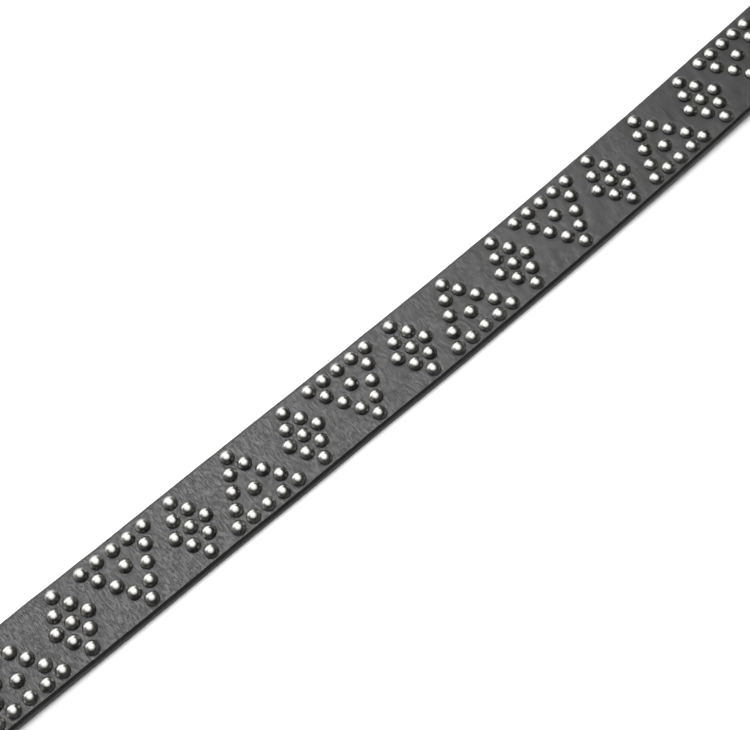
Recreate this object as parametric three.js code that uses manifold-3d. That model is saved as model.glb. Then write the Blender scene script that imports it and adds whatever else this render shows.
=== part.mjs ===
// A studded leather belt, lying face up: one strap set with dome studs, folded round the bar of a plain
// buckle, with a keeper loop and two fold rivets. Millimetres, +Z up, +X from the buckle to the tip.
import * as THREE from "three";
import { mergeVertices } from "three/addons/utils/BufferGeometryUtils.js";
import Module from "manifold-3d";

const wasm = await Module();
wasm.setup();

// Running gap between pieces that touch
const clearance = 0.3;

// Strap, measured from the centre of the buckle bar
const strapWidth = 38;
const strapThickness = 3;
const strapLength = 980;
const strapEdge = 0.6;
const tipLength = 26;
const tailLength = 70;
const tailThickness = 2;
const bowStart = 402;
const bowRadius = 4000;
const waveHeight = 1.2;

// Punched holes
const holeCount = 5;
const holePitch = 25;
const holeDiameter = 5;
const tipToHole = 95;

// Buckle, one plain piece: frame, bar and prong
const barDiameter = 4;
const frameRail = 5;
const frameThickness = 4;
const frameCorner = 7;
const frameEdge = 0.9;
const frameReach = 34;
const frameSlack = 1;
const legOverhang = 2.5;
const prongWidth = 4;
const prongThickness = 2;
const prongRing = 3.2;
const prongEdge = 0.5;
const prongOverhang = 2;
const slotSlack = 1;
const slotReach = 12;

// Keeper loop
const keeperLength = 12;
const keeperThickness = 1.5;
const keeperSlack = 0.6;
const keeperRoom = 4.6;
const keeperCorner = 1.2;
const keeperEdge = 0.3;
const keeperFromSlot = 3;

// Fold rivets
const rivetFromKeeper = 25;
const rivetSpread = 19;
const rivetHeadDiameter = 7;
const rivetHeadHeight = 1.5;
const rivetShank = 3;
const rivetFootDepth = 1.1;
const rivetFloorGap = 0.2;

// Dome studs, in five rows
const studDiameter = 6;
const studHeight = 2.4;
const studRoot = 1;
const studSides = 10;
const rowPitch = 6.72;
const halfStep = 3.8;
const motifPitch = 29;
const fieldStart = 183;
const plainBeforeHoles = 160;

const barHeight = tailThickness + clearance + barDiameter / 2;
const foldInnerRadius = barDiameter / 2 + clearance;
const foldOuterRadius = (barHeight + foldInnerRadius + strapThickness) / 2;
const keeperStart = slotReach + keeperFromSlot;
const keeperEnd = keeperStart + keeperLength;
const keeperSeat = tailThickness + keeperThickness + 2 * clearance;
const rivetStation = keeperEnd + rivetFromKeeper;
const foldJoin = rivetStation - rivetHeadDiameter;
const firstHole = strapLength - tipToHole - (holeCount - 1) * holePitch;
const frameInside = strapWidth + 2 * frameSlack;
const stationStep = 48;
const rampSteps = 4;

// Where the strap lies level. Its folded end and its run share a short part of that stretch.
const runLap = 6;
const levelStart = 0.3 * strapLength;
const runStart = levelStart + runLap;

// Height of the strap's underside: over the bar, the keeper and the folded tail, then down to the floor,
// with one long low wave whose places are shares of the strap's length
const undersideTable = [
  { at: 0, height: barHeight + foldInnerRadius },
  { at: keeperStart, height: keeperSeat },
  { at: keeperEnd, height: keeperSeat },
  { at: foldJoin, height: tailThickness },
  { at: tailLength, height: tailThickness },
  { at: levelStart, height: 0 },
  { at: 0.44 * strapLength, height: 0 },
  { at: 0.64 * strapLength, height: waveHeight },
  { at: 0.85 * strapLength, height: 0 },
  { at: strapLength, height: 0 },
];

function underside(s) {
  const next = undersideTable.findIndex((row) => row.at >= s);
  if (next <= 0) return undersideTable[0].height;
  const a = undersideTable[next - 1];
  const b = undersideTable[next];
  return a.height + (b.height - a.height) * THREE.MathUtils.smoothstep(s, a.at, b.at);
}

// Stations between two rows of the table, closer together where the strap climbs or drops
function stations(from, to) {
  const rows = undersideTable.filter((row) => row.at >= from && row.at <= to);
  const list = [from];
  for (let i = 1; i < rows.length; i++) {
    const a = rows[i - 1];
    const b = rows[i];
    const fewest = a.height === b.height ? 1 : rampSteps;
    const steps = Math.max(fewest, Math.ceil((b.at - a.at) / stationStep));
    for (let k = 1; k < steps; k++) list.push(a.at + ((b.at - a.at) * k) / steps);
    list.push(b.at);
  }
  return list;
}

// The strap's centre line from above: straight from the bar, then one gentle sideways bow
function centreLine(s) {
  const turn = Math.max(0, s - bowStart) / bowRadius;
  const x = Math.min(s, bowStart) + bowRadius * Math.sin(turn);
  return { x, y: bowRadius * (1 - Math.cos(turn)), turn };
}

// Carries a piece to station s, offset v across the strap, standing on height z and square to the strap
function onStrap(s, v, z, pitch = 0) {
  const { x, y, turn } = centreLine(s);
  const matrix = new THREE.Matrix4().makeRotationZ(turn);
  matrix.multiply(new THREE.Matrix4().makeRotationY(pitch));
  return matrix.setPosition(x - v * Math.sin(turn), y + v * Math.cos(turn), z);
}

function solidFrom(geometry, matrix = new THREE.Matrix4()) {
  const bare = geometry.index ? geometry.toNonIndexed() : geometry.clone();
  bare.deleteAttribute("normal");
  bare.deleteAttribute("uv");
  bare.applyMatrix4(matrix);
  const merged = mergeVertices(bare, 1e-4);
  const vertProperties = merged.attributes.position.array;
  const triVerts = new Uint32Array(merged.index.array);
  return new wasm.Manifold(new wasm.Mesh({ numProp: 3, vertProperties, triVerts }));
}

// Back to a three.js geometry, with the faces that came from the set solids in material group 1
function geometryFrom(solid, setIds = new Set()) {
  const mesh = solid.getMesh();
  const geometry = new THREE.BufferGeometry();
  geometry.setAttribute("position", new THREE.BufferAttribute(mesh.vertProperties, 3));
  geometry.setIndex(new THREE.BufferAttribute(mesh.triVerts, 1));
  mesh.runOriginalID.forEach((id, i) => {
    const start = mesh.runIndex[i];
    geometry.addGroup(start, mesh.runIndex[i + 1] - start, setIds.has(id) ? 1 : 0);
  });
  const flat = geometry.toNonIndexed();
  flat.computeVertexNormals();
  return flat;
}

// A profile of [radius, height] points turned about Z
function turned(profile, sides) {
  const points = profile.map(([radius, height]) => new THREE.Vector2(radius, height));
  return new THREE.LatheGeometry(points, sides).rotateX(Math.PI / 2);
}

function roundedRectangle(path, width, height, corner) {
  const x = width / 2;
  const y = height / 2;
  path.moveTo(x, -y + corner);
  path.absarc(x - corner, y - corner, corner, 0, Math.PI / 2);
  path.absarc(-x + corner, y - corner, corner, Math.PI / 2, Math.PI);
  path.absarc(-x + corner, -y + corner, corner, Math.PI, 1.5 * Math.PI);
  path.absarc(x - corner, -y + corner, corner, 1.5 * Math.PI, 2 * Math.PI);
  return path;
}

// A shape given thickness, with chamfered rims inside its outline, centred on its own plane
function slab(shape, thickness, edge, curveSegments) {
  const settings = { bevelThickness: edge, bevelSize: edge, bevelOffset: -edge, bevelSegments: 1 };
  const depth = thickness - 2 * edge;
  const geometry = new THREE.ExtrudeGeometry(shape, { depth, curveSegments, ...settings });
  return geometry.translate(0, 0, -depth / 2);
}

// The folded end from the side: the tail on the floor, up round the bar, and back over it to the level
// stretch, with one opening that holds the bar and the keeper
function foldSide() {
  const along = stations(0, levelStart);
  const end = runStart + runLap;
  const shape = new THREE.Shape();
  shape.moveTo(tailLength, 0);
  shape.lineTo(0, 0);
  shape.absarc(0, foldOuterRadius, foldOuterRadius, -Math.PI / 2, Math.PI / 2, true);
  for (const s of along.slice(1)) shape.lineTo(s, underside(s) + strapThickness);
  shape.lineTo(end, strapThickness);
  shape.lineTo(end, 0);
  for (const s of along.filter((at) => at >= tailLength).reverse()) shape.lineTo(s, underside(s));
  const opening = new THREE.Path();
  opening.moveTo(foldJoin, tailThickness);
  for (const s of along.filter((at) => at < foldJoin).reverse()) opening.lineTo(s, underside(s));
  opening.absarc(0, barHeight, foldInnerRadius, Math.PI / 2, 1.5 * Math.PI);
  shape.holes.push(opening);
  return shape;
}

// Across the strap, with both edges chamfered above and below
function strapSection() {
  const half = strapWidth / 2;
  const inner = half - strapEdge;
  const upper = strapThickness - strapEdge;
  const shape = new THREE.Shape();
  shape.moveTo(-inner, 0);
  shape.lineTo(inner, 0);
  shape.lineTo(half, strapEdge);
  shape.lineTo(half, upper);
  shape.lineTo(inner, strapThickness);
  shape.lineTo(-inner, strapThickness);
  shape.lineTo(-half, upper);
  shape.lineTo(-half, strapEdge);
  return shape;
}

// The rest of the strap, from the level stretch to its end, section by section along the centre line
function strapRun() {
  const along = [runStart, ...stations(levelStart, strapLength).slice(1)];
  const steps = along.length - 1;
  const run = new THREE.ExtrudeGeometry(strapSection(), { depth: steps, steps, bevelEnabled: false });
  const position = run.attributes.position;
  const point = new THREE.Vector3();
  for (let i = 0; i < position.count; i++) {
    const s = along[Math.round(position.getZ(i))];
    point.setFromMatrixPosition(onStrap(s, position.getX(i), underside(s) + position.getY(i)));
    position.setXYZ(i, point.x, point.y, point.z);
  }
  return solidFrom(run);
}

function strapBlank() {
  const foldedEnd = slab(foldSide(), strapWidth, strapEdge, 8).rotateX(Math.PI / 2);
  return solidFrom(foldedEnd).add(strapRun());
}

// What is trimmed off either side of the rounded point
function tipOffcut(side) {
  const half = strapWidth / 2;
  const over = strapEdge;
  const shape = new THREE.Shape();
  shape.moveTo(0, half + over);
  shape.lineTo(0, half);
  shape.bezierCurveTo(0.5 * tipLength, half, tipLength, 0.6 * half, tipLength, 0);
  shape.lineTo(tipLength + over, 0);
  shape.lineTo(tipLength + over, half + over);
  const height = 3 * strapThickness;
  const cutter = new THREE.ExtrudeGeometry(shape, { depth: height, bevelEnabled: false, curveSegments: 8 });
  cutter.translate(0, 0, -strapThickness);
  if (side < 0) cutter.rotateX(Math.PI).translate(0, 0, height - 2 * strapThickness);
  return solidFrom(cutter, onStrap(strapLength - tipLength, 0, 0));
}

function upright(diameter, from, to, s, v, sides = 16) {
  const radius = diameter / 2;
  const rod = turned([[0, from], [radius, from], [radius, to], [0, to]], sides);
  return solidFrom(rod, onStrap(s, v, 0));
}

// Everything punched or cut out of the strap: point, holes, prong slot, rivet holes and their pockets
function strapCuts() {
  const above = 2 * foldOuterRadius + strapThickness;
  const cuts = [tipOffcut(1), tipOffcut(-1)];
  for (let i = 0; i < holeCount; i++) {
    cuts.push(upright(holeDiameter, -1, above, firstHole + i * holePitch, 0));
  }
  const slotWidth = prongWidth + 2 * slotSlack;
  const slotEnd = slotReach - slotWidth / 2;
  const slotLength = slotEnd + foldOuterRadius + strapThickness;
  const slot = new THREE.BoxGeometry(slotLength, slotWidth, 2 * above);
  slot.translate(slotEnd - slotLength / 2, 0, above / 2);
  cuts.push(solidFrom(slot), upright(slotWidth, -1, above, slotEnd, 0));
  for (const v of [-rivetSpread / 2, rivetSpread / 2]) {
    cuts.push(upright(rivetShank + 2 * clearance, -1, above, rivetStation, v));
    cuts.push(upright(rivetHeadDiameter + 2 * clearance, -1, rivetFootDepth, rivetStation, v));
  }
  return cuts;
}

// Motifs of the stud field, as [across the motif, row] with rows from -2 to 2
const lozenge = [[0, 0]];
for (let row = -2; row <= 2; row++) {
  const half = (2 - Math.abs(row)) * halfStep;
  lozenge.push([half, row]);
  if (half > 0) lozenge.push([-half, row]);
}

// A triangle with its point in row 2 or -2, a base of five studs, and one stud at its middle
function triangle(point) {
  const spots = [[0, -point / 3], [0, point]];
  for (let k = 1; k <= 3; k++) {
    const row = point - (k * point) / 2;
    spots.push([k * halfStep, row], [-k * halfStep, row]);
  }
  for (let k = -2; k <= 2; k++) spots.push([2 * k * halfStep, -point]);
  return spots;
}

const motifs = [lozenge, triangle(2), lozenge, triangle(-2)];

function studField() {
  const foot = studDiameter / 2;
  const shoulder = [0.72 * foot, 0.76 * studHeight];
  const spread = ((foot - shoulder[0]) * studRoot) / shoulder[1];
  const dome = turned([[0, -studRoot], [foot + spread, -studRoot], shoulder, [0, studHeight]], studSides);
  const motifCount = Math.floor((firstHole - plainBeforeHoles - fieldStart) / motifPitch) + 1;
  const studs = [];
  for (let i = 0; i < motifCount; i++) {
    for (const [across, row] of motifs[i % motifs.length]) {
      const s = fieldStart + i * motifPitch + across;
      const pitch = -Math.atan(underside(s + 1) - underside(s));
      studs.push(solidFrom(dome, onStrap(s, row * rowPitch, underside(s) + strapThickness, pitch)));
    }
  }
  return studs;
}

function studdedStrap() {
  const studs = studField();
  const leather = wasm.Manifold.difference([strapBlank(), ...strapCuts()]);
  const studIds = new Set(studs.map((stud) => stud.originalID()));
  return geometryFrom(wasm.Manifold.union([leather, ...studs]), studIds);
}

// The buckle frame from above, open towards the strap, where the bar closes it
function frameOutline() {
  const inside = frameInside / 2;
  const outside = inside + frameRail;
  const innerEnd = frameRail / 2 - frameReach;
  const outerEnd = -frameRail / 2 - frameReach;
  const innerCorner = frameCorner - frameRail;
  const shape = new THREE.Shape();
  shape.moveTo(legOverhang, -inside);
  shape.absarc(innerEnd + innerCorner, -inside + innerCorner, innerCorner, 1.5 * Math.PI, Math.PI, true);
  shape.absarc(innerEnd + innerCorner, inside - innerCorner, innerCorner, Math.PI, Math.PI / 2, true);
  shape.lineTo(legOverhang, inside);
  shape.lineTo(legOverhang, outside);
  shape.absarc(outerEnd + frameCorner, outside - frameCorner, frameCorner, Math.PI / 2, Math.PI);
  shape.absarc(outerEnd + frameCorner, -outside + frameCorner, frameCorner, Math.PI, 1.5 * Math.PI);
  shape.lineTo(legOverhang, -outside);
  return shape;
}

// The prong from the side: a ring round the bar and a straight finger that lies on the far rail
function prongSide() {
  const rest = frameThickness / 2;
  const end = -frameReach - prongOverhang;
  const shape = new THREE.Shape();
  shape.moveTo(0, prongRing);
  shape.lineTo(end + prongThickness, rest + prongThickness);
  shape.lineTo(end, rest + 0.6 * prongThickness);
  shape.lineTo(end, rest);
  shape.lineTo(end + prongThickness, rest - 0.1 * prongThickness);
  shape.absarc(0, 0, prongRing, 0.9 * Math.PI, 2.5 * Math.PI);
  return shape;
}

// Frame, bar and prong in one: the far rail lies on the floor and the bar in the fold
function buckle() {
  const bar = new THREE.CylinderGeometry(barDiameter / 2, barDiameter / 2, frameInside + frameRail, 12);
  const prong = slab(prongSide(), prongWidth, prongEdge, 3).rotateX(Math.PI / 2);
  const parts = [solidFrom(slab(frameOutline(), frameThickness, frameEdge, 4)), solidFrom(bar), solidFrom(prong)];
  const reach = frameReach + frameRail / 2 - frameEdge;
  const half = frameThickness / 2;
  const tilt = Math.asin(barHeight / Math.hypot(half, reach)) - Math.atan2(half, reach);
  const geometry = geometryFrom(wasm.Manifold.union(parts));
  return geometry.rotateY(-tilt).translate(0, 0, barHeight);
}

// A loop round the strap alone, its lower bar between strap and tail, with room for the tip above
function keeperLoop() {
  const width = strapWidth + 2 * keeperSlack;
  const height = strapThickness + clearance + keeperRoom;
  const rim = 2 * keeperThickness;
  const outline = roundedRectangle(new THREE.Shape(), width + rim, height + rim, keeperCorner + keeperThickness);
  outline.holes.push(roundedRectangle(new THREE.Path(), width, height, keeperCorner));
  const loop = slab(outline, keeperLength, keeperEdge, 2);
  loop.rotateX(Math.PI / 2).rotateZ(Math.PI / 2);
  const middle = keeperSeat - clearance + height / 2;
  return loop.translate((keeperStart + keeperEnd) / 2, 0, middle);
}

function rivet(v) {
  const head = rivetHeadDiameter / 2;
  const shank = rivetShank / 2;
  const seat = tailThickness + strapThickness;
  const footTop = rivetFootDepth - clearance;
  const profile = [[0, rivetFloorGap], [head, rivetFloorGap], [head, footTop], [shank, footTop], [shank, seat]];
  profile.push([head, seat], [head, seat + 0.3], [0.6 * head, seat + 0.85 * rivetHeadHeight]);
  profile.push([0, seat + rivetHeadHeight]);
  return turned(profile, 12).applyMatrix4(onStrap(rivetStation, v, 0));
}

const leatherBlack = new THREE.MeshStandardMaterial({ color: 0x2b2b2c, roughness: 0.5, metalness: 0 });
const nickel = new THREE.MeshStandardMaterial({ color: 0xc9c6bf, roughness: 0.22, metalness: 1 });

const pieces = [
  ["studded_strap", studdedStrap(), [leatherBlack, nickel]],
  ["buckle", buckle(), nickel],
  ["keeper_loop", keeperLoop(), leatherBlack],
  ["fold_rivet_left", rivet(rivetSpread / 2), nickel],
  ["fold_rivet_right", rivet(-rivetSpread / 2), nickel],
];

const belt = new THREE.Group();
for (const [name, geometry, material] of pieces) {
  const mesh = new THREE.Mesh(geometry, material);
  mesh.name = name;
  belt.add(mesh);
}

// The origin is under the middle of the whole belt
const middle = new THREE.Box3().setFromObject(belt).getCenter(new THREE.Vector3());
belt.position.set(-middle.x, -middle.y, 0);

export default belt;
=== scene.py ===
"""A studded leather belt lying face up: creased leather, polished dome studs, a plain buckle, a keeper and
two fold rivets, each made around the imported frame, on a plain white studio floor. Lengths are in metres."""

import math

import bmesh
import bpy
import numpy as np
from bpy.props import FloatProperty, FloatVectorProperty, IntProperty, PointerProperty
from mathutils import Matrix, Vector


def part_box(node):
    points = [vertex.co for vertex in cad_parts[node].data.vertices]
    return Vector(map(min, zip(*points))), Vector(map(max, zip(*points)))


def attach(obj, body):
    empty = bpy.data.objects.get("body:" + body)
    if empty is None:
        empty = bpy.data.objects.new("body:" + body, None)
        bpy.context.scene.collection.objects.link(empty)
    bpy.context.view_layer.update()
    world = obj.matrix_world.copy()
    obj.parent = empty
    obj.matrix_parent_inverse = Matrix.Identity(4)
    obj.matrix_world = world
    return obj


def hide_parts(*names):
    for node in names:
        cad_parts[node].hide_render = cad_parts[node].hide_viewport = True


bl_info = {
    "name": "Studded belt",
    "version": (1, 0, 0),
    "blender": (4, 5, 0),
    "location": "3D View > Sidebar > Belt",
    "description": "Builds a studded leather belt and its studio",
    "category": "Add Mesh",
}

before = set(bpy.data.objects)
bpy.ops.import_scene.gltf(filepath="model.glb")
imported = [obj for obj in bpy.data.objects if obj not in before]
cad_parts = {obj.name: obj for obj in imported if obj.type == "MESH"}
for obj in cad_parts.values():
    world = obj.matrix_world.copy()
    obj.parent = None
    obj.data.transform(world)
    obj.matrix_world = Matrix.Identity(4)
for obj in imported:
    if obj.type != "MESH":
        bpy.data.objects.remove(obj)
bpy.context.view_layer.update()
STRAP_LOW, STRAP_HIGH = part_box("studded_strap")
BUCKLE_LOW, BUCKLE_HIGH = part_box("buckle")
KEEPER_LOW, KEEPER_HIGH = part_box("keeper_loop")
RIVET_LOW, RIVET_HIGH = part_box("fold_rivet_left")

MM = 0.001
BODY = "root"
SHADE_AND_TARNISH = "shade_and_tarnish"
GRAIN_SIDE = 0
EDGE_PAINT = 1
FLESH_SIDE = 2


# Settings that a user would change


def length(label, text, millimetres):
    """A length property, whose default is given in millimetres."""
    return FloatProperty(name=label, description=text, default=millimetres * MM, min=0, unit="LENGTH")


def angle(label, text, degrees):
    """An angle property, whose default is given in degrees."""
    return FloatProperty(name=label, description=text, default=math.radians(degrees), unit="ROTATION")


def number(label, text, value, unit="NONE"):
    """A plain number, with Blender's name for its unit if it has one."""
    return FloatProperty(name=label, description=text, default=value, unit=unit)


def colour(label, text, value):
    """A linear colour."""
    return FloatVectorProperty(
        name=label, description=text, default=value, size=3, min=0, max=1, subtype="COLOR"
    )


class BeltStrapSettings(bpy.types.PropertyGroup):
    """Sizes and colours of the strap."""

    width: length("Width", "Width of the strap", 38)
    thickness: length("Thickness", "Thickness of the strap's leather", 3)
    length: length("Length", "From the middle of the buckle bar to the tip", 980)
    tip: length("Tip", "Length of the rounded point", 26)
    tail: length("Tail", "Length of the leather folded back under the strap", 70)
    tail_thickness: length("Tail thickness", "Thickness that the fold is skived to", 2)
    edge: length("Edge", "Radius of the rounded edges", 0.8)
    bow_start: length("Bow start", "Where the sideways bow begins", 402)
    bow_radius: length("Bow radius", "Radius of the sideways bow", 4000)
    wave: length("Wave", "How far the long low wave lifts the strap", 1.2)
    hole_count: IntProperty(name="Holes", description="Number of punched holes", default=5)
    hole_pitch: length("Hole pitch", "Distance between punched holes", 25)
    hole: length("Hole", "Diameter of a punched hole", 5)
    tip_to_hole: length("Tip to hole", "From the tip to the nearest hole", 95)
    slot: length("Slot", "Width of the slot that the prong comes through", 6)
    slot_reach: length("Slot reach", "How far the slot runs from the bar", 12)
    grain: colour("Grain", "Colour of the finished side", (0.022, 0.022, 0.0224))
    paint: colour("Edge paint", "Colour of the painted edges", (0.009, 0.009, 0.0092))
    flesh: colour("Flesh", "Colour of the unfinished side", (0.05, 0.047, 0.044))


class BeltStudSettings(bpy.types.PropertyGroup):
    """Sizes, layout and colour of the dome studs."""

    diameter: length("Diameter", "Diameter of a dome", 6)
    height: length("Height", "Height of a dome above the leather", 2.4)
    row_pitch: length("Row pitch", "Distance between the five rows", 6.72)
    half_step: length("Half step", "Half the distance between studs in a row", 3.8)
    motif_pitch: length("Motif pitch", "Distance between motifs", 29)
    field_start: length("Field start", "Where the first motif stands, from the bar", 183)
    motif_count: IntProperty(name="Motifs", description="Number of motifs", default=16)
    lean: angle("Lean", "Steepest slope of a dome, at its foot", 57)
    metal: colour("Metal", "Colour of the polished studs", (0.375, 0.37, 0.352))


class BeltBuckleSettings(bpy.types.PropertyGroup):
    """Sizes and colour of the buckle, the keeper and the rivets."""

    bar: length("Bar", "Diameter of the bar in the fold", 4)
    rail: length("Rail", "Width of the frame's rails", 5)
    thickness: length("Thickness", "Thickness of the frame", 4)
    corner: length("Corner", "Outer radius of the frame's corners", 7)
    reach: length("Reach", "From the bar to the middle of the far rail", 34)
    slack: length("Slack", "Room between the strap and the frame on each side", 1)
    overhang: length("Overhang", "How far the side rails pass the bar", 2.5)
    prong_width: length("Prong width", "Width of the prong", 4)
    prong: length("Prong", "Thickness of the prong", 2)
    prong_overhang: length("Prong overhang", "How far the prong passes the far rail's middle", 2)
    gap: length("Gap", "Running gap between pieces", 0.3)
    keeper: length("Keeper", "Thickness of the keeper's leather", 1.5)
    rivet_foot: length("Rivet foot", "Depth of the pocket under a rivet", 1.1)
    rivet_shank: length("Rivet shank", "Diameter of a rivet's shank", 3)
    rivet_head: length("Rivet head", "Height of a rivet's head", 1.5)
    metal: colour("Metal", "Colour of the buckle", (0.4, 0.395, 0.378))


class BeltStageSettings(bpy.types.PropertyGroup):
    """The camera, the lights and the floor."""

    azimuth: angle("Azimuth", "Direction that the camera looks in, from +X", 58.98)
    elevation: angle("Elevation", "How steeply the camera looks down", 62.25)
    roll: angle("Roll", "How far the camera is turned about its own axis", 10.9)
    distance: length("Distance", "From the camera to the leather", 633)
    station: length("Station", "Where the camera looks, along the strap", 398.8)
    offset: length("Offset", "Where the camera looks, across the strap", 4.37)
    lens: number("Lens", "Focal length on a sensor 36 mm wide", 74.1, "CAMERA")
    overhead: number("Overhead", "Power of the large oval light overhead", 18.7, "POWER")
    window: number("Window", "Power of the wide softbox beyond the belt", 14.5, "POWER")
    hot_spot: number("Hot spot", "Power of the small round light overhead", 4, "POWER")
    bright_side: number("Bright side", "Strength of the surroundings on their bright side", 0.28)
    dark_side: number("Dark side", "Strength of the surroundings on their dark side", 0.02)
    floor: colour("Floor", "Colour of the floor", (0.82, 0.82, 0.82))


# The strap's course and the studs' layout


def smoothstep(share):
    """Goes from 0 to 1 with level ends."""
    share = np.clip(share, 0, 1)
    return share * share * (3 - 2 * share)


class BeltLine:
    """Where the strap runs, from the strap and buckle settings and the frame."""

    def __init__(self, scene):
        strap = scene.belt_strap
        buckle = scene.belt_buckle
        self.strap = strap
        self.bar_height = strap.tail_thickness + buckle.gap + buckle.bar / 2
        self.inner_radius = buckle.bar / 2 + buckle.gap
        self.outer_radius = (self.bar_height + self.inner_radius + strap.thickness) / 2
        self.bar_x = STRAP_LOW.x + self.outer_radius
        self.middle_y = (BUCKLE_LOW.y + BUCKLE_HIGH.y) / 2
        keeper_start = KEEPER_LOW.x - self.bar_x
        keeper_end = KEEPER_HIGH.x - self.bar_x
        keeper_seat = strap.tail_thickness + buckle.keeper + 2 * buckle.gap
        rivet_middle = (RIVET_LOW.x + RIVET_HIGH.x) / 2 - self.bar_x
        self.fold_join = rivet_middle - (RIVET_HIGH.x - RIVET_LOW.x)
        # Stations with the height of the strap's underside there, which changes smoothly between them.
        self.table = [
            (0, self.bar_height + self.inner_radius),
            (keeper_start, keeper_seat),
            (keeper_end, keeper_seat),
            (self.fold_join, strap.tail_thickness),
            (strap.tail, strap.tail_thickness),
            (0.3 * strap.length, 0),
            (0.44 * strap.length, 0),
            (0.64 * strap.length, strap.wave),
            (0.85 * strap.length, 0),
            (strap.length, 0),
        ]

    def underside(self, s):
        """Height of the strap's underside at stations s."""
        s = np.asarray(s, float)
        height = np.full(s.shape, self.table[0][1])
        for (start, low), (end, high) in zip(self.table, self.table[1:]):
            share = smoothstep((s - start) / (end - start))
            height = np.where(s > start, low + (high - low) * share, height)
        return height

    def place(self, s, v, z):
        """Points of the row frame for stations s, offsets v across the strap and heights z."""
        s, v, z = np.broadcast_arrays(*(np.asarray(a, float) for a in (s, v, z)))
        turn = np.maximum(0, s - self.strap.bow_start) / self.strap.bow_radius
        x = np.minimum(s, self.strap.bow_start) + self.strap.bow_radius * np.sin(turn)
        y = self.strap.bow_radius * (1 - np.cos(turn))
        x = x - v * np.sin(turn) + self.bar_x
        y = y + v * np.cos(turn) + self.middle_y
        return np.stack([x, y, z], -1)

    def turn(self, s):
        """Heading of the strap at station s."""
        return max(0.0, s - self.strap.bow_start) / self.strap.bow_radius


def ripple(s, v, waves, seed):
    """A smooth random field in -1..1 from a few sine waves of about the given length."""
    rng = np.random.default_rng(seed)
    total = 0
    count = 7
    peak = 1.6
    for _ in range(count):
        heading = rng.uniform(0, math.tau)
        pace = math.tau / (waves * rng.uniform(0.6, 1.7))
        phase = rng.uniform(0, math.tau)
        total = total + np.sin(pace * (s * math.cos(heading) + v * math.sin(heading)) + phase)
    return total / math.sqrt(count) / peak


def lozenge_motif(half_step):
    """Studs of a lozenge with one at its middle, as (along, row)."""
    spots = [(0, 0)]
    for row in range(-2, 3):
        half = (2 - abs(row)) * half_step
        spots.append((half, row))
        if half > 0:
            spots.append((-half, row))
    return spots


def triangle_motif(half_step, point):
    """Studs of a triangle whose point is in row 2 or -2, as (along, row)."""
    spots = [(0, -point / 3), (0, point)]
    for k in range(1, 4):
        row = point - k * point / 2
        spots += [(k * half_step, row), (-k * half_step, row)]
    spots += [(2 * k * half_step, -point) for k in range(-2, 3)]
    return spots


def stud_spots(scene):
    """Station and offset of every stud."""
    studs = scene.belt_studs
    step = studs.half_step
    motifs = [lozenge_motif(step), triangle_motif(step, 2), lozenge_motif(step), triangle_motif(step, -2)]
    spots = []
    for i in range(studs.motif_count):
        for along, row in motifs[i % len(motifs)]:
            spots.append((studs.field_start + i * studs.motif_pitch + along, row * studs.row_pitch))
    return np.array(spots)


# Meshes


def mesh_object(name, points, faces, materials, indices=None, smooth=True):
    """A linked mesh object with its materials."""
    mesh = bpy.data.meshes.new(name)
    mesh.from_pydata([tuple(p) for p in points], [], [tuple(int(i) for i in f) for f in faces])
    for material in materials:
        mesh.materials.append(material)
    if indices is not None:
        mesh.polygons.foreach_set("material_index", np.asarray(indices, np.int32))
    mesh.polygons.foreach_set("use_smooth", np.full(len(mesh.polygons), smooth))
    mesh.validate()
    mesh.update()
    built = bpy.data.objects.new(name, mesh)
    bpy.context.scene.collection.objects.link(built)
    return built


def grid_faces(rows, columns):
    """Quads of a grid of points whose columns close on themselves."""
    faces = []
    for i in range(rows - 1):
        for j in range(columns):
            k = (j + 1) % columns
            faces.append((i * columns + j, (i + 1) * columns + j, (i + 1) * columns + k, i * columns + k))
    return faces


def clean(built):
    """Merges points that coincide, drops empty faces and turns all faces outwards."""
    merge = 0.02 * MM
    bm = bmesh.new()
    bm.from_mesh(built.data)
    bmesh.ops.remove_doubles(bm, verts=bm.verts, dist=merge)
    bmesh.ops.dissolve_degenerate(bm, dist=merge / 4, edges=bm.edges)
    bmesh.ops.recalc_face_normals(bm, faces=bm.faces)
    bm.to_mesh(built.data)
    bm.free()


def apply_modifiers(built):
    """Makes the modifiers' result the object's own mesh."""
    graph = bpy.context.evaluated_depsgraph_get()
    result = bpy.data.meshes.new_from_object(built.evaluated_get(graph))
    built.modifiers.clear()
    built.data = result


# Materials


def node(tree, kind, values=None, **attributes):
    """Adds a node, sets its attributes and the values of its sockets."""
    made = tree.nodes.new(kind)
    for key, value in attributes.items():
        setattr(made, key, value)
    for key, value in (values or {}).items():
        made.inputs[key].default_value = value
    return made


def new_material(name):
    """A material that holds one Principled BSDF."""
    material = bpy.data.materials.new(name)
    material.use_nodes = True
    return material, material.node_tree, material.node_tree.nodes["Principled BSDF"]


def stretched(tree, scale, turn=0.0):
    """Object coordinates scaled by features per metre along each axis."""
    place = node(tree, "ShaderNodeTexCoord")
    mapping = node(tree, "ShaderNodeMapping", {"Scale": scale, "Rotation": (0, 0, turn)})
    tree.links.new(place.outputs["Object"], mapping.inputs["Vector"])
    return mapping.outputs["Vector"]


def noise(tree, scale, detail=4, roughness=0.55, distortion=0.0, turn=0.0):
    """A noise texture with the given features per metre along each axis."""
    values = {"Scale": 1, "Detail": detail, "Roughness": roughness, "Distortion": distortion}
    made = node(tree, "ShaderNodeTexNoise", values)
    tree.links.new(stretched(tree, scale, turn), made.inputs["Vector"])
    return made.outputs["Fac"]


def ranged(tree, source, low, high, to_low=0.0, to_high=1.0):
    """Maps low..high to to_low..to_high."""
    values = {"From Min": low, "From Max": high, "To Min": to_low, "To Max": to_high}
    made = node(tree, "ShaderNodeMapRange", values)
    tree.links.new(source, made.inputs["Value"])
    return made.outputs["Result"]


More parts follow.
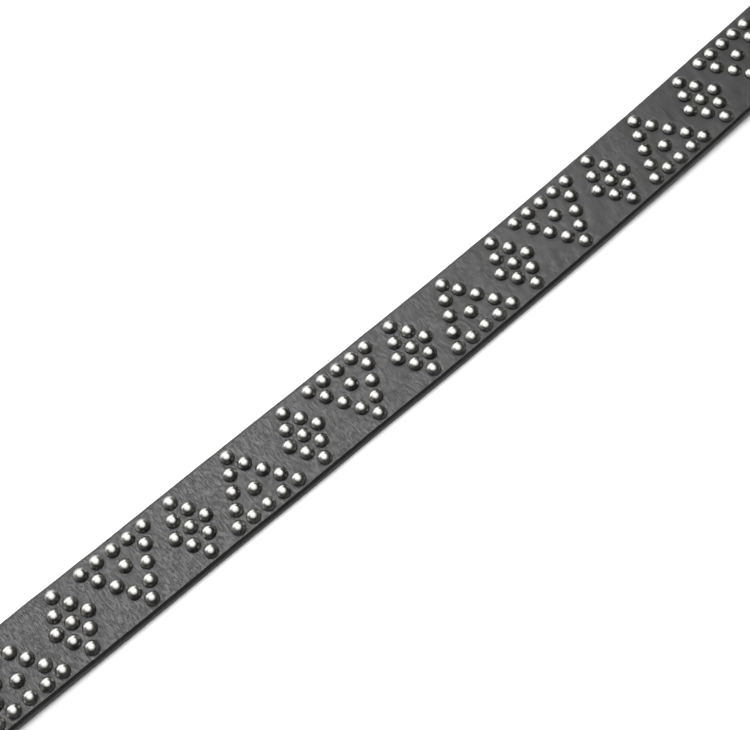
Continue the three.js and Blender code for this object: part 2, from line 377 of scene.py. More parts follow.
def combined(tree, operation, *sources):
    """A Math node on one or two sockets or numbers."""
    made = node(tree, "ShaderNodeMath", operation=operation)
    for socket, value in zip(made.inputs, sources):
        if isinstance(value, (int, float)):
            socket.default_value = value
        else:
            tree.links.new(value, socket)
    return made.outputs["Value"]


def tinted(tree, share, dark, light):
    """A colour between dark and light."""
    made = node(tree, "ShaderNodeMix", data_type="RGBA")
    made.inputs["A"].default_value = (*dark, 1)
    made.inputs["B"].default_value = (*light, 1)
    tree.links.new(share, made.inputs["Factor"])
    return made.outputs["Result"]


def bumped(tree, height, strength, distance, under=None):
    """A bump from a height field, over another one if there is one."""
    made = node(tree, "ShaderNodeBump", {"Strength": strength, "Distance": distance})
    tree.links.new(height, made.inputs["Height"])
    if under is not None:
        tree.links.new(under, made.inputs["Normal"])
    return made.outputs["Normal"]


def scaled(values, factor):
    """A colour made lighter or darker."""
    return tuple(min(1.0, value * factor) for value in values)


def grain_leather(name, base):
    """Smooth dyed leather: fine pores, creases across the strap with painted shade in them, and a soft sheen.
    """
    crease_width = 0.055
    crease_shade = 0.75
    crease_dulling = 0.2
    crease_depth = 0.05 * MM
    wrinkle_depth = 0.13 * MM
    pore_depth = 0.08 * MM
    material, tree, shader = new_material(name)
    folds = noise(tree, (1800, 240, 650), detail=3, roughness=0.6, distortion=0.5, turn=0.16)
    ridges = combined(tree, "ABSOLUTE", combined(tree, "SUBTRACT", folds, 0.5))
    creases = ranged(tree, ridges, 0, crease_width, 1, 0)
    wrinkles = noise(tree, (500, 130, 300), detail=4, roughness=0.5, distortion=0.9, turn=0.1)
    pores = node(tree, "ShaderNodeTexVoronoi", {"Scale": 1}, feature="F1")
    tree.links.new(stretched(tree, (2300, 1500, 1500)), pores.inputs["Vector"])
    patches = noise(tree, (45, 60, 60), detail=3)
    # Painted shade: the creases darken the leather's colour.
    shade = combined(tree, "MULTIPLY", creases, crease_shade)
    tone = combined(tree, "SUBTRACT", ranged(tree, patches, 0.3, 0.7, 0.7, 1), shade)
    paint = tinted(tree, tone, scaled(base, 0.35), scaled(base, 1.5))
    tree.links.new(paint, shader.inputs["Base Color"])
    dulling = combined(tree, "MULTIPLY", creases, crease_dulling)
    dull = combined(tree, "ADD", dulling, ranged(tree, wrinkles, 0.3, 0.7, 0.35, 0.29))
    tree.links.new(dull, shader.inputs["Roughness"])
    shader.inputs["IOR"].default_value = 1.5
    wrinkled = bumped(tree, wrinkles, 0.9, wrinkle_depth)
    creased = bumped(tree, combined(tree, "SUBTRACT", 1, creases), 0.9, crease_depth, wrinkled)
    pebbles = noise(tree, (2600, 1500, 1500), detail=3, roughness=0.6)
    pitted = bumped(tree, pores.outputs["Distance"], 0.3, pore_depth, creased)
    grained = bumped(tree, pebbles, 0.25, pore_depth, pitted)
    tree.links.new(grained, shader.inputs["Normal"])
    return material


def painted_edge(name, base):
    """The sealed cut edge: smoother and glossier, with faint lengthwise brush marks."""
    brush_depth = 0.2 * MM
    material, tree, shader = new_material(name)
    marks = noise(tree, (90, 900, 900), detail=4)
    paint = tinted(tree, ranged(tree, marks, 0.35, 0.65), scaled(base, 0.8), scaled(base, 1.25))
    tree.links.new(paint, shader.inputs["Base Color"])
    tree.links.new(ranged(tree, marks, 0.3, 0.7, 0.36, 0.5), shader.inputs["Roughness"])
    tree.links.new(bumped(tree, marks, 0.3, brush_depth), shader.inputs["Normal"])
    return material


def flesh_leather(name, base):
    """The unfinished side: matt, fibrous and a little lighter."""
    fibre_depth = 0.3 * MM
    material, tree, shader = new_material(name)
    fibres = noise(tree, (1600, 1600, 900), detail=6, roughness=0.7, distortion=1.5)
    patches = noise(tree, (70, 90, 90), detail=3)
    halves = [combined(tree, "MULTIPLY", source, 0.5) for source in (fibres, patches)]
    tone = combined(tree, "ADD", *halves)
    paint = tinted(tree, ranged(tree, tone, 0.35, 0.65), scaled(base, 0.7), scaled(base, 1.5))
    tree.links.new(paint, shader.inputs["Base Color"])
    shader.inputs["Roughness"].default_value = 0.92
    shader.inputs["Sheen Weight"].default_value = 0.15
    tree.links.new(bumped(tree, fibres, 0.6, fibre_depth), shader.inputs["Normal"])
    return material


def polished_metal(name, base, roughness, shade_and_tarnish=False):
    """Polished nickel plate with fine scratches and slight smears. At the feet of the studs, painted shade
    with some tarnish darkens it.
    """
    smear_spread = 0.15
    foot_shade = 0.08
    scratch_depth = 0.05 * MM
    material, tree, shader = new_material(name)
    smears = noise(tree, (260, 260, 260), detail=3)
    scratches = noise(tree, (5200, 700, 2500), detail=3, distortion=0.6, turn=0.7)
    paint = tinted(tree, ranged(tree, smears, 0.35, 0.65), scaled(base, 0.86), base)
    # Painted shade with some tarnish: the colour is darkened towards the foot, where the dome meets the
    # leather.
    if shade_and_tarnish:
        shade_and_tarnish_mask = node(tree, "ShaderNodeAttribute", attribute_name=SHADE_AND_TARNISH)
        darkened = node(tree, "ShaderNodeMix", data_type="RGBA")
        darkened.inputs["B"].default_value = (*scaled(base, foot_shade), 1)
        tree.links.new(shade_and_tarnish_mask.outputs["Fac"], darkened.inputs["Factor"])
        tree.links.new(paint, darkened.inputs["A"])
        paint = darkened.outputs["Result"]
    tree.links.new(paint, shader.inputs["Base Color"])
    shader.inputs["Metallic"].default_value = 1
    clear = roughness * (1 - smear_spread)
    hazy = roughness * (1 + smear_spread)
    dull = ranged(tree, smears, 0.35, 0.65, clear, hazy)
    tree.links.new(dull, shader.inputs["Roughness"])
    tree.links.new(bumped(tree, scratches, 0.06, scratch_depth), shader.inputs["Normal"])
    return material


# The strap


def section_ring(strap):
    """The strap's section as one row per point: share across, side, outward part of the edge radius, depth
    from the grain side, share of the thickness, and the finish of the stretch that follows. A pressed
    groove runs just inside each edge."""
    rows = []
    grain_steps = 42
    flesh_steps = 6
    edge = strap.edge
    bevel = [(0.05, 0.02), (0.1, 0.08), (0.5, 0.52), (0.9, 1.02), (1, 1.3)]
    flesh_bevel = [(0.75, 0.0), (0.93, 0.1), (1, 0.3)]
    groove = [(-0.56 * MM, 0.02 * MM), (-0.4 * MM, 0.24 * MM), (-0.24 * MM, 0.03 * MM)]
    grain_end = -0.62 * MM
    for j in range(grain_steps + 1):
        finish = GRAIN_SIDE if j < grain_steps else EDGE_PAINT
        rows.append((2 * j / grain_steps - 1, 0, grain_end, 0, 0, finish))
    rows += [(1, 1, out, down, 0, EDGE_PAINT) for out, down in groove]
    rows += [(1, 1, edge * out, edge * down, 0, EDGE_PAINT) for out, down in bevel]
    rows += [(1, 1, edge * out, -edge * down, 1, EDGE_PAINT) for out, down in reversed(flesh_bevel)]
    for j in range(flesh_steps + 1):
        finish = FLESH_SIDE if j < flesh_steps else EDGE_PAINT
        rows.append((1 - 2 * j / flesh_steps, 0, 0, 0, 1, finish))
    rows += [(-1, -1, edge * out, -edge * down, 1, EDGE_PAINT) for out, down in flesh_bevel]
    rows += [(-1, -1, edge * out, edge * down, 0, EDGE_PAINT) for out, down in reversed(bevel)]
    rows += [(-1, -1, out, down, 0, EDGE_PAINT) for out, down in reversed(groove)]
    return np.array(rows)


def tip_outline(strap, steps):
    """Station and half width of the rounded point, from its shoulder to its apex."""
    half = strap.width / 2
    shoulder = strap.length - strap.tip
    share = np.linspace(0, 1, steps + 1)[1:]
    handles = [(0, half), (0.5 * strap.tip, half), (strap.tip, 0.6 * half), (strap.tip, 0)]
    weights = [(1 - share) ** 3, 3 * share * (1 - share) ** 2, 3 * share**2 * (1 - share), share**3]
    along = sum(weight * handle[0] for weight, handle in zip(weights, handles))
    across = sum(weight * handle[1] for weight, handle in zip(weights, handles))
    return shoulder + along, across


def strap_stations(line, step):
    """One row per station of the strap: outer point, inner point (each as station and height), half width
    and the outline's inward direction. It runs from the tail's end, round the fold, to the tip."""
    strap = line.strap
    half = strap.width / 2
    tail_steps = 28
    fold_steps = 24
    tip_steps = 30
    rows = []
    for s in np.linspace(strap.tail, 0, tail_steps + 1):
        rows.append((s, 0, s, strap.tail_thickness, half, 0, -1))
    for a in np.linspace(-90, -270, fold_steps + 1)[1:-1]:
        cosine = math.cos(math.radians(a))
        sine = math.sin(math.radians(a))
        outer = (line.outer_radius * cosine, line.outer_radius * (1 + sine))
        inner = (line.inner_radius * cosine, line.bar_height + line.inner_radius * sine)
        rows.append((*outer, *inner, half, 0, -1))
    shoulder = strap.length - strap.tip
    seam = 0.06 * MM
    along = np.linspace(0, shoulder, int(shoulder / step) + 1)
    on_tail = (along > line.fold_join - strap.tip) & (along < strap.tail)
    low = line.underside(along) + np.where(on_tail, seam, 0)
    for s, z in zip(along, low):
        rows.append((s, z + strap.thickness, s, z, half, 0, -1))
    tip_s, tip_half = tip_outline(strap, tip_steps)
    rise = np.gradient(tip_half)
    run = np.gradient(tip_s)
    size = np.hypot(rise, run)
    for k, (s, w) in enumerate(zip(tip_s, tip_half)):
        z = float(line.underside(s))
        inward = (rise[k] / size[k], -run[k] / size[k])
        if k == len(tip_s) - 1:
            inward = (-1, 0)
        rows.append((s, z + strap.thickness, s, z, w, *inward))
    return np.array(rows)


def leather_relief(scene, s, v):
    """How far the grain side stands above its mean height: dimples at the studs and soft unevenness."""
    spots = stud_spots(scene)
    radius = scene.belt_studs.diameter / 2
    dimple_depth = 0.14 * MM
    dimple_width = 0.9 * MM
    swell = 0.14 * MM
    long_waves = 16 * MM
    short_waves = 6 * MM
    relief = swell * ripple(s, v, long_waves, 5) + 0.5 * swell * ripple(s, v, short_waves, 8)
    for spot_s, spot_v in spots:
        near = np.abs(s[:, 0] - spot_s) < 2.5 * radius
        if not near.any():
            continue
        distance = np.hypot(s[near] - spot_s, v[near] - spot_v)
        outside = np.maximum(0, distance - radius) / dimple_width
        relief[near] -= dimple_depth * np.exp(-(outside**2))
    return relief


def cutter_rod(diameter, low, high, spot, sides=32):
    """Points and faces of an upright rod at a place of the row frame."""
    angles = np.linspace(0, math.tau, sides, endpoint=False)
    ring = np.stack([np.cos(angles), np.sin(angles)], -1) * diameter / 2
    points = [(spot[0] + x, spot[1] + y, z) for z in (low, high) for x, y in ring]
    faces = [tuple(range(sides))[::-1], tuple(range(sides, 2 * sides))]
    faces += [(j, (j + 1) % sides, (j + 1) % sides + sides, j + sides) for j in range(sides)]
    return points, faces


def cutter_slot(width, start, end, low, high, middle, sides=24):
    """Points and faces of a long slot with a round end towards +X."""
    angles = np.linspace(-math.pi / 2, math.pi / 2, sides)
    outline = [(start, middle - width / 2)]
    outline += [(end + width / 2 * (math.cos(a) - 1), middle + width / 2 * math.sin(a)) for a in angles]
    outline += [(start, middle + width / 2)]
    count = len(outline)
    points = [(x, y, z) for z in (low, high) for x, y in outline]
    faces = [tuple(range(count))[::-1], tuple(range(count, 2 * count))]
    faces += [(j, (j + 1) % count, (j + 1) % count + count, j + count) for j in range(count)]
    return points, faces


def punch(built, cutters, material):
    """Cuts the cutters out of an object and gives the walls that they leave a finish."""
    points = []
    faces = []
    for more_points, more_faces in cutters:
        base = len(points)
        points += more_points
        faces += [tuple(i + base for i in face) for face in more_faces]
    tool = mesh_object("punch_tool", points, faces, [material], smooth=False)
    clean(tool)
    cut = built.modifiers.new("punch", "BOOLEAN")
    cut.operation = "DIFFERENCE"
    cut.solver = "EXACT"
    cut.material_mode = "TRANSFER"
    cut.object = tool
    apply_modifiers(built)
    bpy.data.objects.remove(tool)
    if not built.data.polygons:
        raise RuntimeError(f"nothing is left of {built.name} after its holes were cut")


def hole_stations(strap):
    """Stations of the punched holes."""
    last = strap.length - strap.tip_to_hole
    return [last - i * strap.hole_pitch for i in range(strap.hole_count)]


def strap_cutters(scene, line):
    """Rods and a slot for the punched holes, the prong and the rivets."""
    strap = line.strap
    buckle = scene.belt_buckle
    low = -2 * MM
    high = 2 * line.outer_radius + strap.thickness
    cutters = []
    for s in hole_stations(strap):
        cutters.append(cutter_rod(strap.hole, low, high, line.place(s, 0, 0)))
    start = line.bar_x - line.outer_radius - strap.thickness
    cutters.append(cutter_slot(strap.slot, start, line.bar_x + strap.slot_reach, low, high, line.middle_y))
    for name in ("fold_rivet_left", "fold_rivet_right"):
        corner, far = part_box(name)
        spot = ((corner.x + far.x) / 2, (corner.y + far.y) / 2)
        shank = buckle.rivet_shank + 2 * buckle.gap
        cutters.append(cutter_rod(shank, buckle.rivet_foot - buckle.gap, high, spot))
        cutters.append(cutter_rod(far.x - corner.x + 2 * buckle.gap, low, buckle.rivet_foot, spot))
    return cutters


def build_strap(scene):
    """The strap's leather, with its fold, point, dimples and holes."""
    station_step = 0.8 * MM
    wobble = 0.13 * MM
    wobble_waves = 70 * MM
    nearly = 0.999
    line = BeltLine(scene)
    strap = line.strap
    ring = section_ring(strap)
    across, side, outward, depth, through = (ring[:, k] for k in range(5))
    finish = ring[:, 5].astype(int)
    stations = strap_stations(line, station_step)
    outer_s, outer_z, inner_s, inner_z, half, inward_s, inward_v = (stations[:, k : k + 1] for k in range(7))
    wall = np.hypot(outer_s - inner_s, outer_z - inner_z)
    share = through + depth / wall
    s = outer_s + (inner_s - outer_s) * share
    z = outer_z + (inner_z - outer_z) * share
    s = s + inward_s * (strap.edge - outward)
    v = across * np.maximum(0, half + inward_v * strap.edge) - side * inward_v * outward
    left = ripple(outer_s, 0, wobble_waves, 11)
    right = ripple(outer_s, 0, wobble_waves, 12)
    v = v + wobble * np.abs(across) * np.where(v > 0, left, right) * (half / half.max())
    crest = np.argmax(outer_z[:, 0] >= 2 * line.outer_radius * nearly)
    over_fold = np.arange(len(stations)) >= crest
    top = over_fold[:, None] & (through < 0.5)[None, :]
    fade = smoothstep((s - strap.slot_reach) / (4 * strap.slot_reach))
    z = z + np.where(top, leather_relief(scene, s, v) * fade, 0)
    points = line.place(s, v, z).reshape(-1, 3)
    behind = s.reshape(-1) < 0
    flat = np.stack([line.bar_x + s, line.middle_y + v, z], -1).reshape(-1, 3)
    points = np.where(behind[:, None], flat, points)
    rows, columns = s.shape
    faces = grid_faces(rows, columns)
    indices = [finish[j] for _ in range(rows - 1) for j in range(columns)]
    faces.append(tuple(range(columns)))
    indices.append(EDGE_PAINT)
    grain = grain_leather("strap_grain", strap.grain)
    paint = painted_edge("strap_edge_paint", strap.paint)
    flesh = flesh_leather("strap_flesh", strap.flesh)
    built = mesh_object("strap_leather", points, faces, [grain, paint, flesh], indices)
    clean(built)
    punch(built, strap_cutters(scene, line), paint)
    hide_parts("studded_strap")
    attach(built, BODY)


# The studs


def lathe(profile, sides):
    """Points and faces of a closed profile of (radius, height) turned about Z, with its ends on the axis."""
    points = [(0, 0, profile[0][1])]
    for radius, height in profile[1:-1]:
        for j in range(sides):
            a = math.tau * j / sides
            points.append((radius * math.cos(a), radius * math.sin(a), height))
    points.append((0, 0, profile[-1][1]))
    rings = len(profile) - 2
    last = len(points) - 1
    faces = [(0, 1 + (j + 1) % sides, 1 + j) for j in range(sides)]
    for i in range(rings - 1):
        for j in range(sides):
            k = (j + 1) % sides
            low = 1 + i * sides
            faces.append((low + j, low + k, low + sides + k, low + sides + j))
    top = 1 + (rings - 1) * sides
    faces += [(top + j, top + (j + 1) % sides, last) for j in range(sides)]
    return np.array(points), faces


def dome_profile(studs):
    """A stud's shell from its sunk rim up over a short skirt to its crown."""
    radius = studs.diameter / 2
    foot = 0.45 * MM
    lip = 0.12 * MM
    ball = (radius - lip) / math.sin(studs.lean)
    middle = studs.height - ball
    skirt = middle + ball * math.cos(studs.lean) - lip / 2
    profile = [(0, -foot), (radius - lip, -foot), (radius, -foot + lip), (radius, skirt)]
    steps = 9
    for k in range(steps):
        tilt = studs.lean * (1 - k / steps)
        profile.append((ball * math.sin(tilt), middle + ball * math.cos(tilt)))
    profile.append((0, studs.height))
    return profile


def build_studs(scene):
    """All dome studs as one joined mesh, each a little turned and tilted, as set by hand."""
    line = BeltLine(scene)
    studs = scene.belt_studs
    strap = line.strap
    sides = 28
    shape, faces = lathe(dome_profile(studs), sides)
    rng = np.random.default_rng(21)
    lean = math.radians(1.6)
    slip = 0.12 * MM
    ahead = 1 * MM
    points = []
    all_faces = []
    for s, v in stud_spots(scene):
        rise = float(line.underside(s + ahead) - line.underside(s)) / ahead
        turn = Matrix.Rotation(line.turn(s), 3, "Z") @ Matrix.Rotation(-math.atan(rise), 3, "Y")
        turn = turn @ Matrix.Rotation(rng.normal(0, lean), 3, "X")
        turn = turn @ Matrix.Rotation(rng.normal(0, lean), 3, "Y")
        turn = turn @ Matrix.Rotation(rng.uniform(0, math.tau), 3, "Z")
        height = float(line.underside(s)) + strap.thickness
        spot = line.place(s + rng.normal(0, slip), v + rng.normal(0, slip), height)
        base = len(points) * len(shape)
        points.append(shape @ np.array(turn).T + spot)
        all_faces += [tuple(i + base for i in face) for face in faces]
    metal = polished_metal("stud_nickel", studs.metal, 0.3, shade_and_tarnish=True)
    built = mesh_object("dome_studs", np.concatenate(points), all_faces, [metal])
    # Painted shade with some tarnish: each dome is much darker at its foot, fading out about halfway up.
    foot_height = studs.height / 3
    rim = np.clip(1.5 - shape[:, 2] / foot_height, 0, 1)
    shade_and_tarnish = built.data.attributes.new(SHADE_AND_TARNISH, "FLOAT", "POINT")
    shade_and_tarnish.data.foreach_set("value", np.tile(rim, len(points)))
    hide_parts("studded_strap")
    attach(built, BODY)


# The buckle


def rounded_section(width, height, radius, steps=4):
    """A closed rounded rectangle as (across, up) points."""
    points = []
    for x, y, start in ((1, 1, 0), (-1, 1, 90), (-1, -1, 180), (1, -1, 270)):
        for k in range(steps + 1):
            a = math.radians(start + 90 * k / steps)
            cx = x * (width / 2 - radius)
            cy = y * (height / 2 - radius)
            points.append((cx + radius * math.cos(a), cy + radius * math.sin(a)))
    return points


def sweep(path, normals, binormals, section, closed=False, scales=None):
    """Points and faces of a section carried along a path, with flat ends where the path is open."""
    points = []
    for i, (spot, across, up) in enumerate(zip(path, normals, binormals)):
        wide, high = scales[i] if scales else (1, 1)
        points += [spot + across * (x * wide) + up * (y * high) for x, y in section]
    count = len(section)
    rows = len(path)
    faces = grid_faces(rows, count)
    if closed:
        last = (rows - 1) * count
        faces += [(last + j, j, (j + 1) % count, last + (j + 1) % count) for j in range(count)]
    else:
        faces += [tuple(range(count)), tuple(range((rows - 1) * count, rows * count))[::-1]]
    return points, faces


def quarter_turn(x, y, radius, start):
    """Points of a quarter of a circle about a point, from start degrees on, clockwise."""
    steps = 12
    angles = [math.radians(start - 90 * k / steps) for k in range(steps + 1)]
    return [(x + radius * math.cos(a), y + radius * math.sin(a)) for a in angles]


def rail_half(scene):
    """From the middle of the buckle to the middle of a side rail."""
    buckle = scene.belt_buckle
    return scene.belt_strap.width / 2 + buckle.slack + buckle.rail / 2


def frame_path(scene):
    """The middle line of the buckle frame, from one side rail's end round to the other, from above."""
    buckle = scene.belt_buckle
    half = rail_half(scene)
    corner = buckle.corner - buckle.rail / 2
    far = -buckle.reach
    flat = [(buckle.overhang, -half), (0, -half), (0.5 * (far + corner), -half)]
    flat += quarter_turn(far + corner, -half + corner, corner, 270)
    flat += [(far, y * half) for y in (-0.5, 0, 0.5)]
    flat += quarter_turn(far + corner, half - corner, corner, 180)
    flat += [(0.5 * (far + corner), half), (0, half), (buckle.overhang, half)]
    return [Vector((x, y, 0)) for x, y in flat]


def path_sides(path, up):
    """For each point of a path, the direction square to it and to up."""
    sides = []
    for i in range(len(path)):
        ahead = path[min(i + 1, len(path) - 1)] - path[max(i - 1, 0)]
        sides.append(ahead.cross(up).normalized())
    return sides


def buckle_tilt(scene, line):
    """How far the frame leans from the bar down to its far rail on the floor."""
    buckle = scene.belt_buckle
    half = buckle.thickness / 2
    rounding = 0.9 * MM
    reach = buckle.reach + buckle.rail / 2 - rounding
    return math.asin(line.bar_height / math.hypot(half, reach)) - math.atan2(half, reach)


def settle_buckle(built, scene, line):
    """Leans a piece modelled about the bar and puts it in the fold."""
    lean = Matrix.Rotation(-buckle_tilt(scene, line), 4, "Y")
    place = Matrix.Translation((line.bar_x, line.middle_y, line.bar_height))
    built.data.transform(place @ lean)
    clean(built)
    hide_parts("buckle")
    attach(built, BODY)


def build_frame(scene, line, metal):
    """The buckle's frame with its bar."""
    buckle = scene.belt_buckle
    rounding = 1.2 * MM
    end_size = 0.8
    end_length = 0.2
    bar_points = 9
    path = frame_path(scene)
    up = Vector((0, 0, 1))
    section = rounded_section(buckle.rail, buckle.thickness, rounding, 5)
    ends = [(end_size, end_size), (1, 1)]
    second = path[0] + (path[1] - path[0]) * end_length
    last_but_one = path[-1] + (path[-2] - path[-1]) * end_length
    path = [path[0], second, *path[1:-1], last_but_one, path[-1]]
    scales = ends + [(1, 1)] * (len(path) - 4) + ends[::-1]
    sides = path_sides(path, up)
    points, faces = sweep(path, sides, [up] * len(path), section, scales=scales)
    half = rail_half(scene)
    bar_path = [Vector((0, y, 0)) for y in np.linspace(-half, half, bar_points)]
    bar = rounded_section(buckle.bar, buckle.bar, buckle.bar / 2 - 0.01 * MM, 6)
    more, more_faces = sweep(bar_path, [Vector((1, 0, 0))] * bar_points, [up] * bar_points, bar)
    faces += [tuple(i + len(points) for i in face) for face in more_faces]
    built = mesh_object("buckle_frame", points + more, faces, [metal])
    settle_buckle(built, scene, line)


def build_prong(scene, line, metal):
    """The prong: curled round the bar, straight over the window, its tip on the far rail."""
    buckle = scene.belt_buckle
    curl = buckle.bar / 2 + 0.6 * MM
    thin = 1.1 * MM
    rest = buckle.thickness / 2 + buckle.prong / 2
    end = -buckle.reach - buckle.prong_overhang
    curl_steps = 20
    straight_steps = 16
    thickening_steps = 6
    settling = 1.6
    tip_width = 0.55
    tip_thickness = 0.4
    path = []
    for k in range(curl_steps + 1):
        a = math.radians(-150 + 240 * k / curl_steps)
        path.append(Vector((curl * math.cos(a), 0, curl * math.sin(a))))
    for k in range(1, straight_steps + 1):
        share = k / straight_steps
        height = curl + (rest - curl) * smoothstep(share * settling)
        path.append(Vector((end * share, 0, float(height))))
    side = Vector((0, 1, 0))
    section = rounded_section(1, 1, 0.28, 4)
    scales = []
    for k in range(len(path)):
        share = min(1, max(0, (k - curl_steps) / thickening_steps))
        thick = thin + (buckle.prong - thin) * share
        taper = min(1, (len(path) - 1 - k + 0.45) / 1.4)
        wide = buckle.prong_width * (tip_width + (1 - tip_width) * taper)
        scales.append((wide, thick * (tip_thickness + (1 - tip_thickness) * taper)))
    points, faces = sweep(path, [side] * len(path), path_sides(path, -side), section, scales=scales)
    built = mesh_object("buckle_prong", points, faces, [metal])
    settle_buckle(built, scene, line)


# The keeper and the rivets


def build_keeper(scene):
    """The keeper: a band of leather round the strap, with rounded edges."""
    corner = 1.9 * MM
    edge = 0.45 * MM
    spacing = 3 * MM
    buckle = scene.belt_buckle
    wide = KEEPER_HIGH.y - KEEPER_LOW.y - buckle.keeper
    high = KEEPER_HIGH.z - KEEPER_LOW.z - buckle.keeper
    middle = (KEEPER_LOW + KEEPER_HIGH) / 2
    loop = rounded_section(wide, high, corner, 8)
    path = []
    for i, (y, z) in enumerate(loop):
        after = loop[(i + 1) % len(loop)]
        pieces = max(1, int(math.dist((y, z), after) / spacing))
        for k in range(pieces):
            share = k / pieces
            across = middle.y + y + (after[0] - y) * share
            height = middle.z + z + (after[1] - z) * share
            path.append(Vector((middle.x, across, height)))
    along = Vector((1, 0, 0))
    count = len(path)
    ups = [(path[(i + 1) % count] - path[i - 1]).cross(along).normalized() for i in range(count)]
    section = rounded_section(KEEPER_HIGH.x - KEEPER_LOW.x, buckle.keeper, edge, 4)
    points, faces = sweep(path, [along] * count, ups, section, closed=True)
    leather = grain_leather("keeper_grain", scene.belt_strap.grain)
    built = mesh_object("keeper_band", points, faces, [leather])
    clean(built)
    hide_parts("keeper_loop")
    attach(built, BODY)


def build_rivet(scene, name, node_name, metal):
    """One fold rivet: a low domed head on the strap, and its foot in the pocket under the tail."""
    buckle = scene.belt_buckle
    strap = scene.belt_strap
    low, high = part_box(node_name)
    radius = (high.x - low.x) / 2
    shank = buckle.rivet_shank / 2
    seat = strap.tail_thickness + strap.thickness
    foot = buckle.rivet_foot - buckle.gap
    lip = 0.2 * MM
    sunk = 0.1 * MM
    brim = 0.42 * MM
    sides = 40
    profile = [(0, low.z), (radius - lip, low.z), (radius, low.z + lip), (radius, foot), (shank, foot)]
    profile += [(shank, seat - sunk), (radius - 0.15 * MM, seat - sunk), (radius, seat + 0.05 * MM)]
    profile += [(radius, seat + 0.25 * MM), (radius - lip, seat + brim)]
    crown = buckle.rivet_head - brim
    for a in (20, 38, 55, 70, 82):
        wide = (radius - lip) * math.cos(math.radians(a))
        profile.append((wide, seat + brim + crown * math.sin(math.radians(a))))
    profile.append((0, seat + buckle.rivet_head))
    points, faces = lathe(profile, sides)
    points = points + np.array([(low.x + high.x) / 2, (low.y + high.y) / 2, 0])
    built = mesh_object(name, points, faces, [metal])
    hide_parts(node_name)
    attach(built, BODY)


# The stage


def build_floor(scene):
    """A wide pale floor."""
    material, _, shader = new_material("floor_white")
    shader.inputs["Base Color"].default_value = (*scene.belt_stage.floor, 1)
    shader.inputs["Roughness"].default_value = 0.9
    shader.inputs["Specular IOR Level"].default_value = 0.1
    reach = 6
    corners = [(-reach, -reach, 0), (reach, -reach, 0), (reach, reach, 0), (-reach, reach, 0)]
    floor = mesh_object("studio_floor", corners, [(0, 1, 2, 3)], [material], smooth=False)


def build_camera(scene):
    """The camera at the photograph's angle to the strap, and the point that it looks at."""
    stage = scene.belt_stage
    line = BeltLine(scene)
    height = float(line.underside(stage.station)) + line.strap.thickness
    target = Vector(line.place(stage.station, stage.offset, height))
    level = math.cos(stage.elevation)
    ahead_x = level * math.cos(stage.azimuth)
    ahead_y = level * math.sin(stage.azimuth)
    forward = Vector((ahead_x, ahead_y, -math.sin(stage.elevation)))
    right = forward.cross(Vector((0, 0, 1))).normalized()
    up = right.cross(forward)
    turned_right = right * math.cos(stage.roll) - up * math.sin(stage.roll)
    turned_up = turned_right.cross(forward)
    data = bpy.data.cameras.new("photo_camera")
    data.lens = stage.lens
    data.sensor_width = 36
    data.sensor_fit = "HORIZONTAL"
    data.clip_start = 0.01
    camera = bpy.data.objects.new("photo_camera", data)
    scene.collection.objects.link(camera)
    axes = Matrix((turned_right, turned_up, -forward)).transposed().to_4x4()
    camera.matrix_world = Matrix.Translation(target - forward * stage.distance) @ axes
    scene.camera = camera
    return target


def add_light(scene, name, target, direction, distance, shape, size, power):
    """An area light that faces the target from a direction."""
    data = bpy.data.lights.new(name, "AREA")
    data.shape = shape
    data.size, data.size_y = size
    data.energy = power
    light = bpy.data.objects.new(name, data)
    scene.collection.objects.link(light)
    towards = Vector(direction).normalized()
    facing = towards.to_track_quat("Z", "Y").to_matrix().to_4x4()
    light.matrix_world = Matrix.Translation(target + towards * distance) @ facing


def build_lights(scene, target):
    """A large oval light and a small round one overhead, a wide low softbox beyond the belt, and dim
    surroundings with a brighter side. Each light has its direction, distance, shape, size and power."""
    stage = scene.belt_stage
    bright_way = (-0.6, 0.8, 0.1)
    lights = {
        "overhead_light": ((-0.02, 0.25, 0.965), 1.0, "ELLIPSE", (1.6, 2.0), stage.overhead),
        "hot_spot_light": ((0.02, 0.36, 0.92), 0.97, "DISK", (0.7, 0.7), stage.hot_spot),
        "window_light": ((-0.05, 0.94, 0.34), 1.4, "RECTANGLE", (2.0, 0.6), stage.window),
    }
    for name, (direction, distance, shape, size, power) in lights.items():
        add_light(scene, name, target, direction, distance, shape, size, power)
    world = bpy.data.worlds.new("studio_surroundings")
    world.use_nodes = True
    tree = world.node_tree
    back = tree.nodes["Background"]
    back.inputs["Color"].default_value = (1, 1, 1, 1)
    place = node(tree, "ShaderNodeTexCoord")
    facing = node(tree, "ShaderNodeVectorMath", operation="DOT_PRODUCT")
    facing.inputs[1].default_value = bright_way
    tree.links.new(place.outputs["Generated"], facing.inputs[0])
    glow = ranged(tree, facing.outputs["Value"], 0.15, 0.95, stage.dark_side, stage.bright_side)
    tree.links.new(glow, back.inputs["Strength"])
    scene.world = world
    scene.view_settings.view_transform = "Standard"


# Operators and panel


class BELT_OT_strap(bpy.types.Operator):
    """Build the strap's leather"""

    bl_idname = "belt.strap"
    bl_label = "Strap"

    def execute(self, context):
        build_strap(context.scene)
        return {"FINISHED"}


class BELT_OT_studs(bpy.types.Operator):
    """Build the dome studs"""

    bl_idname = "belt.studs"
    bl_label = "Studs"

    def execute(self, context):
        build_studs(context.scene)
        return {"FINISHED"}


class BELT_OT_buckle(bpy.types.Operator):
    """Build the buckle's frame and prong"""

    bl_idname = "belt.buckle"
    bl_label = "Buckle"

    def execute(self, context):
        scene = context.scene
        metal = polished_metal("buckle_nickel", scene.belt_buckle.metal, 0.26)
        line = BeltLine(scene)
        build_frame(scene, line, metal)
        build_prong(scene, line, metal)
        return {"FINISHED"}


class BELT_OT_keeper(bpy.types.Operator):
    """Build the keeper band"""

    bl_idname = "belt.keeper"
    bl_label = "Keeper"

    def execute(self, context):
        build_keeper(context.scene)
        return {"FINISHED"}


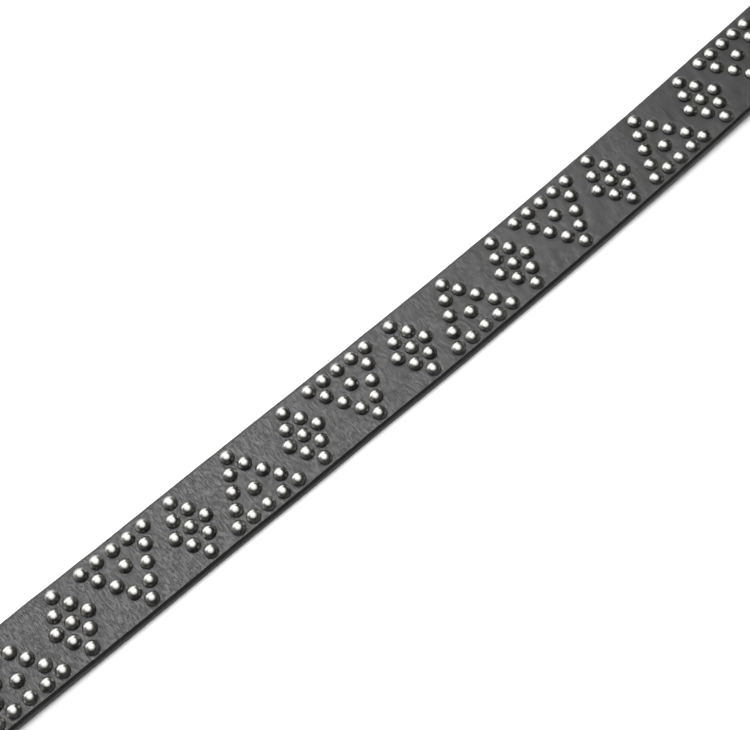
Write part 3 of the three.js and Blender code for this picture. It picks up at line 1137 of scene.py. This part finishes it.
class BELT_OT_rivets(bpy.types.Operator):
    """Build the fold rivets"""

    bl_idname = "belt.rivets"
    bl_label = "Fold rivets"

    def execute(self, context):
        scene = context.scene
        metal = polished_metal("rivet_nickel", scene.belt_buckle.metal, 0.28)
        for side in ("left", "right"):
            build_rivet(scene, f"rivet_{side}", f"fold_rivet_{side}", metal)
        return {"FINISHED"}


class BELT_OT_stage(bpy.types.Operator):
    """Build the floor, the lights and the camera"""

    bl_idname = "belt.stage"
    bl_label = "Stage"

    def execute(self, context):
        build_floor(context.scene)
        target = build_camera(context.scene)
        build_lights(context.scene, target)
        return {"FINISHED"}


STEPS = ("belt.strap", "belt.studs", "belt.buckle", "belt.keeper", "belt.rivets", "belt.stage")


class BELT_PT_pieces(bpy.types.Panel):
    """Lists the belt's pieces and their settings"""

    bl_idname = "BELT_PT_pieces"
    bl_label = "Studded belt"
    bl_space_type = "VIEW_3D"
    bl_region_type = "UI"
    bl_category = "Belt"

    def draw(self, context):
        scene = context.scene
        for step in STEPS:
            self.layout.operator(step)
        for group in (scene.belt_strap, scene.belt_studs, scene.belt_buckle, scene.belt_stage):
            box = self.layout.box()
            for name in group.bl_rna.properties.keys():
                if name not in ("name", "rna_type"):
                    box.prop(group, name)


SETTINGS = {
    "belt_strap": BeltStrapSettings,
    "belt_studs": BeltStudSettings,
    "belt_buckle": BeltBuckleSettings,
    "belt_stage": BeltStageSettings,
}
CLASSES = (
    BELT_OT_strap,
    BELT_OT_studs,
    BELT_OT_buckle,
    BELT_OT_keeper,
    BELT_OT_rivets,
    BELT_OT_stage,
    BELT_PT_pieces,
)


def register():
    for name, group in SETTINGS.items():
        bpy.utils.register_class(group)
        setattr(bpy.types.Scene, name, PointerProperty(type=group))
    for kind in CLASSES:
        bpy.utils.register_class(kind)


def unregister():
    for kind in reversed(CLASSES):
        bpy.utils.unregister_class(kind)
    for name, group in SETTINGS.items():
        delattr(bpy.types.Scene, name)
        bpy.utils.unregister_class(group)


def main():
    register()
    for step in STEPS:
        family, name = step.split(".")
        getattr(getattr(bpy.ops, family), name)()


if __name__ == "__main__":
    main()
